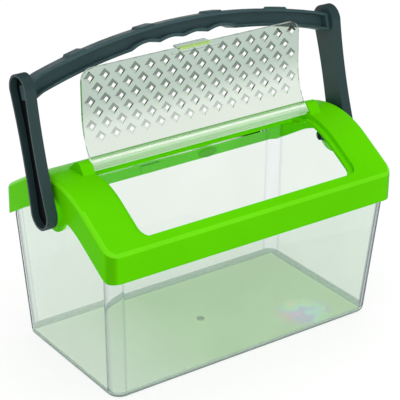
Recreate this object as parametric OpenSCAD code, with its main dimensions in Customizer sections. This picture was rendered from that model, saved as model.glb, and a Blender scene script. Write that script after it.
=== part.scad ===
// Plastic keeper for small pets: a clear tub, a moulded lid with a perforated
// hatch hinged between two raised ears, and a swing handle clipped to the lid's
// ends. The origin is the centre of the tub's underside. X runs along the
// length, Y from front to back, and Z upwards.

/* [Tub] */
// Length of the tub's underside
tub_length = 231; // [215:1:236]
// Depth of the tub's underside
tub_depth = 121.5; // [108:0.5:126]
// Thickness of the tub's walls and floor
tub_wall = 2; // [1.5:0.1:2.6]
// Plan radius of the tub's corners, outside
tub_corner_r = 10; // [8:0.5:14]
// Radius of the rounded foot, outside
foot_r = 3; // [3:0.5:8]
// How far the tub's rim lies below the roof of the lid
rim_drop = 13; // [11:0.5:16]
// Radius of the round gate mark under the floor
gate_r = 3; // [2:0.5:5]
// Depth of the gate mark
gate_depth = 0.4; // [0.2:0.1:0.6]
// Clearance round the handle's snap heads in the rim's notches
notch_play = 2.2; // [1.5:0.1:3]

/* [Lid] */
// Length of the lid
lid_length = 250; // [244:1:262]
// Depth of the lid from front to back
lid_depth = 142; // [138:1:150]
// Plan radius of the lid's corners
lid_corner_r = 10; // [8:0.5:14]
// Thickness of the lid's walls
lid_wall = 2.2; // [1.8:0.1:2.8]
// Height of the skirt's lower edge above the table
skirt_level = 97; // [80:1:110]
// Height of the front and rear skirts
skirt_height = 21; // [19:1:26]
// Height of the end skirts, measured down from the roof
end_band = 24; // [22:1:28]
// Pitch of the roof's two flanks, in degrees
roof_slope = 31; // [26:1:34]
// Radius of the roof's crown
crown_r = 70; // [60:1:80]
// Rounding along the roof's front and rear edges
edge_round = 2; // [1:0.25:3]
// Rounding along the roof's end edges
end_round = 4.5; // [3:0.25:6]
// Play between the tub's rim and the lid's skirt
lid_play = 1.1; // [0.6:0.1:1.4]
// Width of the step inside the lid that rests on the tub's rim
seat_step = 2; // [1.8:0.1:2.4]
// Clearance between the step and the rim
seat_gap = 0.3; // [0.1:0.1:0.5]
// Length of the catches inside the front and rear skirts
catch_length = 17; // [10:1:24]
// Height of the catches
catch_height = 7; // [5:0.5:9]
// How far the catches stand in from the skirt
catch_depth = 0.8; // [0.4:0.1:0.9]

/* [Opening] */
// Length of the recess that the hatch lies in
recess_length = 190; // [180:1:196]
// How far the recess stays behind the lid's front
front_margin = 7.7; // [6.5:0.1:12]
// Plan radius of the recess's front corners
recess_r = 7; // [5:0.5:9]
// Depth of the recess below the roof
recess_depth = 3; // [2.7:0.1:3.6]
// Width of the ledge at the opening's ends
end_ledge = 4; // [3:0.5:6]
// Width of the ledge at the opening's front
front_ledge = 2; // [1.5:0.5:5]
// Plan radius of the opening's corners
opening_r = 8; // [5:0.5:10]
// Thickness of the ledge and of the frame round the recess
frame_wall = 2.2; // [1.8:0.1:2.6]

/* [Hinge] */
// Distance of the hinge line behind the middle of the lid
hinge_back = 1; // [0:0.5:3]
// Height of the hinge line above the roof's apex
hinge_rise = 1; // [0.5:0.25:2]
// Radius of the hatch's barrel
barrel_r = 3.6; // [3.4:0.1:4]
// Radius of the hinge pins
pin_r = 2; // [1.5:0.1:2.4]
// Length of each hinge pin
pin_length = 5; // [4:0.5:7]
// Clearance round the pins and round the handle's studs
pin_gap = 0.05; // [0.03:0.01:0.08]
// Clearance between the barrel's ends and the ears
barrel_end_gap = 0.4; // [0.2:0.1:0.8]
// Radius of the ears round the hinge line
ear_r = 6; // [5.5:0.25:7]
// Width of each ear
ear_width = 9.5; // [8:0.5:12]
// Angle of the ears' front flank, in degrees
ear_front_angle = 55; // [50:1:65]
// Angle of the ears' rear flank, in degrees
ear_rear_angle = 42; // [38:1:55]
// Clearance round the hatch's tail in the trough behind the opening
swing_gap = 0.5; // [0.3:0.1:0.8]

/* [Hatch] */
// Thickness of the hatch
hatch_t = 2; // [1.6:0.1:2.2]
// How far the closed hatch lies below the roof
hatch_drop = 0.5; // [0.3:0.1:0.8]
// Play between the hatch and the recess
hatch_play = 0.7; // [0.4:0.1:1]
// Angle from the apex at which the hatch leaves the crown's curve
bend_angle = 14; // [12:1:18]
// Radius of the tighter curve that dips to the barrel
bend_r = 37; // [36:0.5:40]
// How far the hatch reaches behind the hinge line
tail_length = 2.5; // [1.5:0.25:3]
// Plan radius of the hatch's free corners
hatch_corner_r = 9; // [7.5:0.5:11]
// Width of the finger tab
tab_width = 27; // [20:1:40]
// How far the finger tab stands up from the hatch along its free edge
tab_reach = 5.8; // [3:0.1:7]
// Thickness of the finger tab
tab_t = 1.5; // [1.2:0.1:2]
// Plan radius of the finger tab's corners
tab_r = 1.5; // [0.5:0.25:2.5]
// Length of the snap rib under the free edge
rib_length = 40; // [30:1:50]
// Radius of the snap rib
rib_r = 1; // [0.8:0.1:1.4]
// How far the hatch stands open, in degrees
hatch_open = 122.5; // [100:0.5:124]

/* [Air holes] */
// Number of rows of air holes
hole_rows = 6; // [3:1:6]
// Number of air holes in the first row
row_holes = 15; // [9:1:15]
// Distance of the first row from the free edge
first_row = 7.2; // [6.8:0.1:9]
// Distance between rows, along the curve
row_pitch = 8.75; // [8:0.05:8.8]
// Distance between the holes in a row
hole_pitch = 12.5; // [12:0.1:12.5]
// Half diagonal of each diamond pocket at its mouth
pocket_r = 4.7; // [4:0.1:5]
// Half diagonal of the hole at the pocket's foot
hole_r = 1.9; // [1.4:0.1:2.4]

/* [Handle] */
// Height of the handle's pivot above the skirt's lower edge
pivot_rise = 28.5; // [26:0.5:30]
// Angle at which the handle leans back, in degrees
lean = 15.8; // [12:0.1:20]
// Clearance between the lid's bosses and the arms
arm_gap = 0.3; // [0.2:0.1:0.6]
// Width of each arm along X
arm_width = 8; // [7:0.5:12]
// Radius of the arms' lower and upper lobes
lobe_r = 11.5; // [10.5:0.25:13]
// Half width of the arms' waist
waist = 9.3; // [8.5:0.1:10]
// Distance between the lobes' centres
arm_reach = 86; // [84:0.5:90]
// Thickness of the rim round each arm's recess
arm_rim = 1.8; // [1.4:0.1:2.4]
// Thickness of the web behind each arm's recess
arm_web = 3; // [2.4:0.1:4]
// Radius of the studs that turn in the lid
stud_r = 4.5; // [3.5:0.1:5]
// Radius of the studs' snap heads
head_r = 7; // [6:0.25:8]
// Radius of the snap heads' tips
tip_r = 3.8; // [3:0.1:4.5]
// Length of the snap heads
head_length = 12; // [8:0.5:14]
// Width of the slot that splits each snap head
split_width = 3; // [2:0.25:4]
// Radius of the lugs round the pivots
lug_r = 15; // [13:0.5:16]
// Radius of the hollows beside the lugs
lug_blend = 8; // [5:0.5:10]
// Radius of the raised bosses on the lugs
boss_r = 11; // [9:0.5:12.5]
// Height of the raised bosses
boss_height = 3; // [1:0.25:4]

/* [Grip] */
// Radius of the grip's arched top
grip_r = 450; // [420:5:520]
// Distance from the pivot to the grip's top
grip_reach = 110; // [107:0.5:113]
// Depth of the grip from front to back
grip_depth = 14; // [12:0.5:15]
// Height of the grip's section
grip_height = 13; // [12:0.5:14]
// Thickness of the grip's flanges
grip_wall = 2.2; // [1.8:0.1:2.6]
// Depth of the channel in the grip's front
channel_depth = 6; // [3:0.5:9]
// Rounding along the grip's edges
grip_round = 1.5; // [0.5:0.25:2]
// Radius of the finger hollows
finger_r = 27.8; // [24:0.2:34]
// Distance between finger hollows
finger_pitch = 20.7; // [18:0.1:22]
// How far the finger hollows rise into the grip's underside
finger_rise = 1.5; // [1:0.1:2]
// Number of finger hollows
fingers = 4; // [2:1:4]
// Number of raised pads on the grip
pads = 4; // [2:1:4]
// Distance between the pads
pad_pitch = 58; // [50:1:60]
// Length of a pad
pad_length = 11; // [8:0.5:14]
// Height of a pad
pad_height = 1.3; // [0.8:0.1:1.6]
// How far a pad stays back from the grip's edges
pad_margin = 1.5; // [1:0.25:3]
// Play of the grip's tenons in the arms
tenon_play = 0.1; // [0.05:0.05:0.2]
// Step between the grip's section and its tenons
tenon_step = 1.5; // [1:0.25:2.2]

/* [Hidden] */
$fn = 64;
// Sides of the large circles, and of the longest arcs
curve_fn = 180;
arc_fn = 720;
// Sides of an air hole
diamond_fn = 4;
// Steps in each rounded plan corner, in each rounded edge and across the crown
corner_steps = 8;
round_steps = 5;
crown_steps = 14;
crown_arc_steps = 6;
bend_steps = 10;
// Extra length that carries a cut past the surface it opens, or a foot into the wall that bears it
past = 1;
// Roof
crown_c = skirt_level + skirt_height + tan(roof_slope) * (lid_depth / 2 - crown_r * sin(roof_slope))
    - crown_r * cos(roof_slope);
apex = crown_c + crown_r;
roof_span = lid_depth / 2 + end_round;
// Tub
lid_half = lid_length / 2;
lid_back = lid_depth / 2;
rim_half = lid_half - lid_wall - lid_play;
rim_back = lid_back - lid_wall - lid_play;
// Opening
recess_half = recess_length / 2;
recess_front = front_margin - lid_back;
opening_half = recess_half - end_ledge;
opening_front = recess_front + front_ledge;
// Hinge
hinge_z = apex + hinge_rise;
bend_shift = crown_r - hatch_drop - bend_r;
bend_c = [-bend_shift * sin(bend_angle), crown_c + bend_shift * cos(bend_angle)];
tail_y = hinge_back + tail_length;
tail_z = bend_c[1] + sqrt(pow(bend_r - hatch_t, 2) - pow(tail_y - bend_c[0], 2));
trough_r = norm([tail_length, hinge_z - tail_z]) + swing_gap;
opening_back = hinge_back + trough_r / 2;
// Hatch
hatch_front = recess_front + hatch_play;
hatch_half = recess_half - hatch_play;
edge_len = (abs(hatch_front) - (crown_r - hatch_drop) * sin(roof_slope)) / cos(roof_slope);
crown_len = (crown_r - hatch_drop) * (roof_slope - bend_angle) * PI / 180;
// Handle
pivot_z = skirt_level + pivot_rise;
arm_in = lid_half + boss_height + arm_gap;
arc_c = grip_reach - grip_r;
mid_r = grip_r - grip_height / 2;
finger_c = grip_reach - grip_height + finger_rise - finger_r;
notch_r = head_r + notch_play;
lug_line = roof_z(lug_r + lug_blend / 2) - end_band;
blend_y = sqrt(pow(lug_r + lug_blend, 2) - pow(pivot_z - lug_line + lug_blend, 2));
waist_r = (pow(arm_reach / 2, 2) + pow(lobe_r - waist, 2)) / (2 * (lobe_r - waist));
head_base = lid_half - lid_wall - arm_gap;
plastic_clear = [0.88, 0.92, 0.9, 0.35];
plastic_green = [0.38, 0.84, 0.02];
plastic_dark = [0.2, 0.27, 0.28];

// Height of the roof at y, lowered squarely by drop
function roof_z(y, drop = 0) =
    let (r = crown_r - drop, half = r * sin(roof_slope))
    abs(y) < half ? crown_c + sqrt(r * r - y * y)
                  : crown_c + r * cos(roof_slope) - (abs(y) - half) * tan(roof_slope);

// Right half of a plan outline from front to back: x, y and the share of the outward normal along X
function right_half(hx, hy, r) = concat(
    [for (i = [0 : corner_steps]) let (a = 90 * i / corner_steps - 90)
        [hx - r + r * cos(a), r - hy + r * sin(a), cos(a)]],
    [for (i = [0 : crown_steps]) let (a = roof_slope * (2 * i / crown_steps - 1))
        [hx, crown_r * sin(a), 1]],
    [for (i = [0 : corner_steps]) let (a = 90 * i / corner_steps)
        [hx - r + r * cos(a), hy - r + r * sin(a), cos(a)]]);

// Whole plan outline, anticlockwise from the front right corner
function outline(hx, hy, r) =
    let (half = right_half(hx, hy, r), n = len(half))
    concat(half, [for (i = [n - 1 : -1 : 0]) [-half[i][0], half[i][1], half[i][2]]]);

// An outline's point moved squarely inward by d
function inward(p, d) = [
    p[0] - sign(p[0]) * p[2] * d,
    p[1] - sign(p[1]) * sqrt(max(0, 1 - p[2] * p[2])) * d];

// Solid through a stack of rings, each mirrored about X = 0
module loft(rings) {
    n = len(rings[0]);
    half = n / 2;
    top = (len(rings) - 1) * n;
    sides = [for (k = [0 : len(rings) - 2], i = [0 : n - 1])
        let (j = (i + 1) % n, a = k * n + i, b = k * n + j)
        each [[a, a + n, b + n], [a, b + n, b]]];
    caps = [for (i = [0 : half - 2])
        each [[i, i + 1, n - 2 - i, n - 1 - i],
              [top + i + 1, top + i, top + n - 1 - i, top + n - 2 - i]]];
    polyhedron([for (ring = rings) each ring], concat(sides, caps));
}

// Area under the roof, lowered squarely by drop
module roof_area(drop) {
    r = crown_r - drop;
    half = r * sin(roof_slope);
    translate([0, crown_c])
        circle(r, $fn = curve_fn);
    polygon([
        [-roof_span, 0],
        [-roof_span, roof_z(roof_span, drop)],
        [-half, roof_z(half, drop)],
        [half, roof_z(half, drop)],
        [roof_span, roof_z(roof_span, drop)],
        [roof_span, 0]]);
}

// Extrudes a profile drawn in Y and Z along X
module along_x(from, to) {
    translate([from, 0, 0])
        rotate([90, 0, 90])
            linear_extrude(to - from)
                children();
}

// Everything under the roof, lowered squarely by drop
module under_roof(drop) {
    along_x(-lid_length, lid_length)
        roof_area(drop);
}

// Rectangle from y0 to y1 with its front corners rounded by r0 and its rear corners by r1
module panel(half, y0, y1, r0, r1) {
    translate([-half, y0 + r0])
        square([2 * half, y1 - r1 - y0 - r0]);
    translate([r0 - half, y0])
        square([2 * (half - r0), y1 - y0 - r1]);
    translate([r1 - half, y0 + r0])
        square([2 * (half - r1), y1 - y0 - r0]);
    for (side = [-1, 1]) {
        translate([side * (half - r0), y0 + r0])
            circle(r0);
        translate([side * (half - r1), y1 - r1])
            circle(r1);
    }
}

// Cylinder along X between from and to, on a line at y and z
module rod(r, from, to, y, z) {
    translate([from, y, z])
        rotate([0, 90, 0])
            cylinder(h = to - from, r = r);
}

// Plan shape raised from the skirt's level to clear of the roof
module prism() {
    translate([0, 0, skirt_level])
        linear_extrude(apex)
            children();
}

// Half length and half depth of the tub's skin at height z
function tub_half(z) = let (share = min(1, z / skirt_level)) [
    tub_length / 2 + (rim_half - tub_length / 2) * share,
    tub_depth / 2 + (rim_back - tub_depth / 2) * share];

// Ring at height z that lies d inside the tub's skin
function tub_ring(z, d) = let (half = tub_half(z))
    [for (p = outline(half[0] - d, half[1] - d, tub_corner_r - d)) [p[0], p[1], z]];

// Rings of a tub whose skin lies inset inside the tub's own, with its rim raised by extra
function tub_rings(inset, extra) = let (r = foot_r - inset) concat(
    [for (i = [0 : round_steps]) let (a = 90 * i / round_steps)
        tub_ring(inset + r * (1 - cos(a)), inset + r * (1 - sin(a)))],
    [tub_ring(skirt_level, inset)],
    [[for (p = tub_ring(skirt_level, inset)) [p[0], p[1], roof_z(p[1]) - rim_drop + extra]]]);

module tub() {
    color(plastic_clear)
        difference() {
            loft(tub_rings(0, 0));
            loft(tub_rings(tub_wall, past));
            along_x(-lid_half, lid_half)
                notch();
            translate([0, 0, -past])
                cylinder(h = past + gate_depth, r = gate_r);
        }
}

// Notch in the tub's end walls, open upwards, that lets the snap heads through
module notch() {
    translate([0, pivot_z])
        circle(notch_r);
    translate([-notch_r, pivot_z])
        square([2 * notch_r, apex - pivot_z]);
}

// Ring round the lid's skin at angle a of the rounding along the roof's edges
function roof_ring(a) = [for (p = outline(lid_half, lid_back, lid_corner_r))
    let (e = edge_round + (end_round - edge_round) * p[2] * p[2], q = inward(p, e * (1 - cos(a))))
    [q[0], q[1], roof_z(q[1]) - e * (1 - sin(a))]];

// Lower edge of the lid's skirt, arched at the ends
function skirt_ring() = [for (p = outline(lid_half, lid_back, lid_corner_r))
    [p[0], p[1], max(skirt_level, roof_z(p[1]) - end_band)]];

// Rings of a hollow under the lid: d inside its skin, up to a roof lowered by drop and then by fall
function hollow_rings(d, drop, fall) =
    let (ring = outline(lid_half - d, lid_back - d, lid_corner_r - d)) [
        [for (p = ring) [p[0], p[1], skirt_level - past]],
        [for (p = ring) [p[0], p[1], roof_z(p[1], drop) - fall]]];

// Lid moulding before its opening is cut
module lid_shell() {
    difference() {
        loft(concat([skirt_ring()], [for (i = [0 : round_steps]) roof_ring(90 * i / round_steps)]));
        loft(hollow_rings(lid_wall, 0, rim_drop - seat_gap));
        loft(hollow_rings(lid_wall + seat_step, lid_wall, 0));
    }
}

// Frame under the roof that carries the ledge, and the wall of the trough behind it
module frame_body() {
    intersection() {
        prism()
            panel(recess_half + frame_wall, lid_wall - lid_back,
                hinge_back + trough_r + frame_wall, recess_r, recess_r);
        difference() {
            under_roof(lid_wall / 2);
            under_roof(recess_depth + frame_wall);
        }
    }
    intersection() {
        rod(trough_r + frame_wall, -recess_half - frame_wall, recess_half + frame_wall, hinge_back, hinge_z);
        under_roof(lid_wall / 2);
    }
}

// Recess that the hatch lies in, whose floor follows the hatch, and the trough that its tail swings through
module recess() {
    front = recess_front - past;
    intersection() {
        prism()
            panel(recess_half, recess_front, hinge_back, recess_r, past);
        along_x(-recess_half - past, recess_half + past)
            polygon(concat(
                [[front, apex + past], [front, roof_z(front, recess_depth)]],
                hatch_curve(recess_depth - hatch_drop),
                [[tail_y, apex + past]]));
    }
    rod(trough_r, -recess_half, recess_half, hinge_back, hinge_z);
}

// Outline of a hinge ear, rounded over the pin with two flanks down into the roof
module ear_profile() {
    foot_z = apex - lid_wall + past / 2;
    front = [hinge_back - ear_r * sin(ear_front_angle), hinge_z + ear_r * cos(ear_front_angle)];
    rear = [hinge_back + ear_r * sin(ear_rear_angle), hinge_z + ear_r * cos(ear_rear_angle)];
    translate([hinge_back, hinge_z])
        circle(ear_r);
    polygon([
        [front[0] - (front[1] - foot_z) / tan(ear_front_angle), foot_z],
        front,
        rear,
        [rear[0] + (rear[1] - foot_z) / tan(ear_rear_angle), foot_z]]);
}

module ears() {
    along_x(recess_half, recess_half + ear_width)
        ear_profile();
    along_x(-recess_half - ear_width, -recess_half)
        ear_profile();
}

// Round lug that hangs from an end skirt, with hollows where it meets the skirt's edge
module lug_profile() {
    blend_z = lug_line - lug_blend;
    translate([0, pivot_z])
        circle(lug_r);
    difference() {
        polygon([
            [-blend_y, pivot_z + past],
            [-blend_y, blend_z],
            [0, pivot_z],
            [blend_y, blend_z],
            [blend_y, pivot_z + past]]);
        for (side = [-1, 1])
            translate([side * blend_y, blend_z])
                circle(lug_blend);
    }
}

module lugs() {
    along_x(lid_half - lid_wall, lid_half)
        lug_profile();
    along_x(-lid_half, lid_wall - lid_half)
        lug_profile();
    rod(boss_r, lid_half - lid_wall / 2, lid_half + boss_height, 0, pivot_z);
    rod(boss_r, -lid_half - boss_height, lid_wall / 2 - lid_half, 0, pivot_z);
}

// Catches inside the front and rear skirts
module catches() {
    face = lid_back - lid_wall;
    low = skirt_level + past;
    for (side = [-1, 1])
        along_x(-catch_length / 2, catch_length / 2)
            polygon([
                [side * (face + lid_wall / 2), low],
                [side * face, low],
                [side * (face - catch_depth), low + catch_depth],
                [side * (face - catch_depth), low + catch_height - catch_depth],
                [side * face, low + catch_height],
                [side * (face + lid_wall / 2), low + catch_height]]);
}

module lid_frame() {
    color(plastic_green)
        difference() {
            union() {
                lid_shell();
                frame_body();
                ears();
                lugs();
                catches();
            }
            recess();
            prism()
                panel(opening_half, opening_front, opening_back, opening_r, opening_r);
            rod(pin_r + pin_gap, -recess_half - pin_length, recess_half + pin_length, hinge_back, hinge_z);
            rod(stud_r + pin_gap, -arm_in, arm_in, 0, pivot_z);
        }
}

// Place on the hatch's outer face at distance s from the free edge: y, z and the slope there
function on_hatch(s) =
    let (r = crown_r - hatch_drop)
    s < edge_len
        ? let (y = hatch_front + s * cos(roof_slope)) [y, roof_z(y, hatch_drop), roof_slope]
    : s < edge_len + crown_len
        ? let (a = roof_slope - (s - edge_len) / r * 180 / PI) [-r * sin(a), crown_c + r * cos(a), a]
        : let (a = bend_angle - (s - edge_len - crown_len) / bend_r * 180 / PI)
          [bend_c[0] - bend_r * sin(a), bend_c[1] + bend_r * cos(a), a];

// Curve of the hatch from its free edge, cut square, to its tail, d below the outer face
function hatch_curve(d) =
    let (r = crown_r - hatch_drop - d, rb = bend_r - d, tail = asin((tail_y - bend_c[0]) / rb),
        edge = hatch_front + d * sin(roof_slope)) concat(
        [[edge, roof_z(edge, hatch_drop + d)]],
        [for (i = [0 : crown_arc_steps])
            let (a = roof_slope - (roof_slope - bend_angle) * i / crown_arc_steps)
                [-r * sin(a), crown_c + r * cos(a)]],
        [for (i = [1 : bend_steps])
            let (a = bend_angle - (bend_angle + tail) * i / bend_steps)
                [bend_c[0] - rb * sin(a), bend_c[1] + rb * cos(a)]]);

// Curved sheet of the hatch with its free corners rounded
module hatch_sheet() {
    under = hatch_curve(hatch_t);
    intersection() {
        along_x(-hatch_half, hatch_half)
            polygon(concat(hatch_curve(0), [for (i = [len(under) - 1 : -1 : 0]) under[i]]));
        prism()
            panel(hatch_half, hatch_front - past / 10, tail_y + past, hatch_corner_r, past);
    }
}

// Barrel on the hatch's tail with its web and the pins that turn in the ears
module hatch_barrel() {
    half = recess_half - barrel_end_gap;
    sheet_z = bend_c[1] + sqrt(pow(bend_r - hatch_t / 2, 2) - pow(hinge_back - bend_c[0], 2));
    rod(barrel_r, -half, half, hinge_back, hinge_z);
    rod(pin_r, -half - pin_length, half + pin_length, hinge_back, hinge_z);
    along_x(-hatch_half, hatch_half)
        translate([hinge_back - hatch_t, sheet_z])
            square([2 * hatch_t, hinge_z - sheet_z]);
}

// Finger tab that stands up squarely along the hatch's free edge
module finger_tab() {
    translate([0, hatch_front, roof_z(hatch_front, hatch_drop)])
        rotate([90 + roof_slope, 0, 0])
            translate([0, 0, -tab_t])
                linear_extrude(tab_t)
                    panel(tab_width / 2, -hatch_t / 2, tab_reach, past / 2, tab_r);
}

// Rib under the free edge that grips the front of the opening
module snap_rib() {
    s = (opening_front - hatch_front) / cos(roof_slope) + rib_r + hatch_play / 2;
    place = on_hatch(s);
    rod(rib_r, -rib_length / 2, rib_length / 2,
        place[0] + hatch_t * sin(roof_slope), place[1] - hatch_t * cos(roof_slope));
}

// Air holes, each a diamond pocket that narrows through the sheet
module air_holes() {
    taper = (pocket_r - hole_r) / hatch_t;
    over = past / 4;
    for (row = [0 : hole_rows - 1]) {
        place = on_hatch(first_row + row * row_pitch);
        count = row_holes - row % 2;
        for (i = [0 : count - 1])
            translate([(i - (count - 1) / 2) * hole_pitch, place[0], place[1]])
                rotate([place[2], 0, 0])
                    translate([0, 0, -hatch_t - over])
                        cylinder(h = hatch_t + 2 * over, r1 = hole_r - over * taper,
                            r2 = pocket_r + over * taper, $fn = diamond_fn);
    }
}

// Turns a hatch drawn closed to where it stands open
module opened() {
    translate([0, hinge_back, hinge_z])
        rotate([-hatch_open, 0, 0])
            translate([0, -hinge_back, -hinge_z])
                children();
}

module hatch() {
    color(plastic_clear)
        opened() {
            difference() {
                hatch_sheet();
                air_holes();
            }
            hatch_barrel();
            finger_tab();
            snap_rib();
        }
}

// Leans a handle drawn upright about its pivot
module leaned() {
    translate([0, 0, pivot_z])
        rotate([-lean, 0, 0])
            children();
}

// Outline of an arm, d inside its edge: two lobes joined by a slim waist
module arm_profile(d) {
    circle(lobe_r - d);
    translate([0, arm_reach])
        circle(lobe_r - d);
    difference() {
        translate([d - lobe_r, 0])
            square([2 * (lobe_r - d), arm_reach]);
        for (side = [-1, 1])
            translate([side * (waist + waist_r), arm_reach / 2])
                circle(waist_r + d, $fn = arc_fn);
    }
}

// Stud with a split snap head, on the inner face of the right arm
module stud() {
    difference() {
        union() {
            rod(stud_r, head_base - past, arm_in + past, 0, 0);
            translate([head_base, 0, 0])
                rotate([0, -90, 0])
                    cylinder(h = head_length, r1 = head_r, r2 = tip_r);
        }
        translate([head_base - head_length - past, -split_width / 2, -head_r])
            cube([head_length + past, split_width, 2 * head_r]);
    }
}

// Right arm, drawn upright with its pivot at the origin
module arm() {
    difference() {
        union() {
            along_x(arm_in, arm_in + arm_width)
                arm_profile(0);
            stud();
        }
        along_x(arm_in + arm_web, arm_in + arm_width + past)
            arm_profile(arm_rim);
        intersection() {
            grip_arc(tenon_step - tenon_play, arm_in + arm_web + past);
            translate([arm_in - past, -grip_depth, 0])
                cube([arm_width, 2 * grip_depth, grip_reach]);
        }
    }
}

// Arched bar with the grip's section, d inside its faces, out to reach on both sides
module grip_arc(d, reach) {
    span = asin((reach + past) / (grip_r - grip_height));
    intersection() {
        translate([0, 0, arc_c])
            rotate([90, 0, 0])
                rotate([0, 0, 90 - span])
                    rotate_extrude(angle = 2 * span, $fn = arc_fn)
                        translate([mid_r, 0])
                            panel(grip_height / 2 - d, d - grip_depth / 2, grip_depth / 2 - d,
                                grip_round, grip_round);
        translate([-reach, -grip_depth, 0])
            cube([2 * reach, 2 * grip_depth, grip_reach + past]);
    }
}

// Round hollows for the fingers, each enlarged by extra
module finger_hollows(extra) {
    for (i = [0 : fingers - 1])
        translate([(i - (fingers - 1) / 2) * finger_pitch, grip_depth, finger_c])
            rotate([90, 0, 0])
                cylinder(h = 2 * grip_depth, r = finger_r + extra, $fn = curve_fn);
}

// Channel in the grip's front, whose floor follows the hollows
module channel() {
    reach = arm_in - tenon_play - grip_wall;
    under_r = grip_r - grip_height + grip_wall;
    difference() {
        intersection() {
            translate([0, 0, arc_c])
                rotate([90, 0, 0])
                    translate([0, 0, grip_depth / 2 - channel_depth])
                        difference() {
                            cylinder(h = channel_depth + past, r = grip_r - grip_wall, $fn = arc_fn);
                            translate([0, 0, -past])
                                cylinder(h = channel_depth + 3 * past, r = under_r, $fn = arc_fn);
                        }
            translate([-reach, -grip_depth, 0])
                cube([2 * reach, grip_depth, grip_reach]);
        }
        finger_hollows(grip_wall);
    }
}

// Raised pads across the top of the grip
module grip_pads() {
    for (i = [0 : pads - 1])
        translate([0, 0, arc_c])
            rotate([0, asin((i - (pads - 1) / 2) * pad_pitch / grip_r), 0])
                translate([0, grip_depth / 2 - pad_margin, grip_r])
                    rotate([90, 0, 0])
                        linear_extrude(grip_depth - 2 * pad_margin)
                            polygon([
                                [-pad_length / 2 - pad_height, -past],
                                [-pad_length / 2 - pad_height, 0],
                                [-pad_length / 2, pad_height],
                                [pad_length / 2, pad_height],
                                [pad_length / 2 + pad_height, 0],
                                [pad_length / 2 + pad_height, -past]]);
}

module grip_bar() {
    color(plastic_dark)
        leaned() {
            difference() {
                union() {
                    grip_arc(0, arm_in - tenon_play);
                    grip_arc(tenon_step, arm_in + arm_web);
                }
                finger_hollows(0);
                channel();
            }
            grip_pads();
        }
}

module right_arm() {
    color(plastic_dark)
        leaned()
            arm();
}

module left_arm() {
    color(plastic_dark)
        leaned()
            mirror([1, 0, 0])
                arm();
}

tub();
lid_frame();
hatch();
grip_bar();
left_arm();
right_arm();
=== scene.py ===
"""Looks of a clear plastic keeper for small pets.

The keeper is a clear tub with a moulded green lid, a clear perforated hatch that stands open
on the lid's ridge, and a dark swing handle. Sizes are in metres, X runs along the length, Y from
front to back, and Z upwards, with the origin under the middle of the tub.
"""

import logging
import math
from contextlib import contextmanager
from dataclasses import dataclass, field
from enum import Enum
from typing import Callable, Iterator, Optional, Protocol, Sequence

import bmesh
import bpy
from mathutils import Matrix, Vector


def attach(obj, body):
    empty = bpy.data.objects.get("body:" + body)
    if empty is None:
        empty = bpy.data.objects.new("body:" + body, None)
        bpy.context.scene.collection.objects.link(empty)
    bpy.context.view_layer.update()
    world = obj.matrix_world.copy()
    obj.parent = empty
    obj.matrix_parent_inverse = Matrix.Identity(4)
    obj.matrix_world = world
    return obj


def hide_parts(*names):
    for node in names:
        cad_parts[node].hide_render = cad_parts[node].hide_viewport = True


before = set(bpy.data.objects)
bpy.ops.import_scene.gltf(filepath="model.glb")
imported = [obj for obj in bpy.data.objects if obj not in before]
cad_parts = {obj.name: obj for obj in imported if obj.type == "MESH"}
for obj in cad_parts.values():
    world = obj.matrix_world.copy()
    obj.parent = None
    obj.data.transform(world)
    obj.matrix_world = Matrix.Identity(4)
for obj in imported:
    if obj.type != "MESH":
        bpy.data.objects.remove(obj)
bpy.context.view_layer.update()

log = logging.getLogger("keeper")
MM = 0.001
Colour = tuple[float, float, float]


class Body(Enum):
    """Bodies of the keeper that pieces ride on."""

    TUB = "tub"
    LID = "lid"
    HATCH = "hatch"
    HANDLE = "handle"


class Slot(Enum):
    """Names of material slots."""

    TUB = "tub_clear"
    HATCH = "hatch_clear"
    LID = "lid_green"
    HANDLE = "handle_dark"


class Part(Enum):
    """Parts of a mesh that can be picked."""

    VERTEX = "VERT"
    EDGE = "EDGE"
    FACE = "FACE"


class Way(Enum):
    """Ways to combine two pieces."""

    ADD = "UNION"
    CUT = "DIFFERENCE"


class Finish(Protocol):
    """Anything that gives a material."""

    def material(self) -> bpy.types.Material:
        """Builds the material, or returns the one that is there."""
        ...


def linear(red: int, green: int, blue: int) -> Colour:
    """Turns a colour as a screen shows it, from 0 to 255, into linear light."""

    def channel(value: int) -> float:
        share = value / 255
        return share / 12.92 if share <= 0.04045 else ((share + 0.055) / 1.055) ** 2.4

    return channel(red), channel(green), channel(blue)


def deselect_all() -> None:
    """Leaves nothing selected and nothing active."""
    for thing in bpy.context.selected_objects:
        thing.select_set(False)
    bpy.context.view_layer.objects.active = None


def activate(piece: bpy.types.Object) -> None:
    """Makes a piece the only one that operators act on."""
    deselect_all()
    piece.select_set(True)
    bpy.context.view_layer.objects.active = piece


@contextmanager
def editing(piece: bpy.types.Object) -> Iterator[None]:
    """Opens a piece in edit mode with nothing selected, and closes it again."""
    activate(piece)
    bpy.ops.object.mode_set(mode="EDIT")
    bpy.ops.mesh.select_all(action="DESELECT")
    try:
        yield
    finally:
        bpy.ops.object.mode_set(mode="OBJECT")


def modify(piece: bpy.types.Object, kind: str, **values: object) -> None:
    """Adds a modifier to a piece and applies it.

    Args:
        piece: The object to change.
        kind: Blender's name of the modifier.
        values: Settings of the modifier.
    """
    activate(piece)
    modifier = piece.modifiers.new(kind.lower(), kind)
    for key, value in values.items():
        setattr(modifier, key, value)
    bpy.ops.object.modifier_apply(modifier=modifier.name)


def smooth(piece: bpy.types.Object, angle: float = 35.0) -> None:
    """Shades a piece smooth up to an angle in degrees, with its flat faces kept flat."""
    activate(piece)
    bpy.ops.object.shade_smooth_by_angle(angle=math.radians(angle))
    modify(piece, "WEIGHTED_NORMAL", keep_sharp=True, weight=90)


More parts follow.
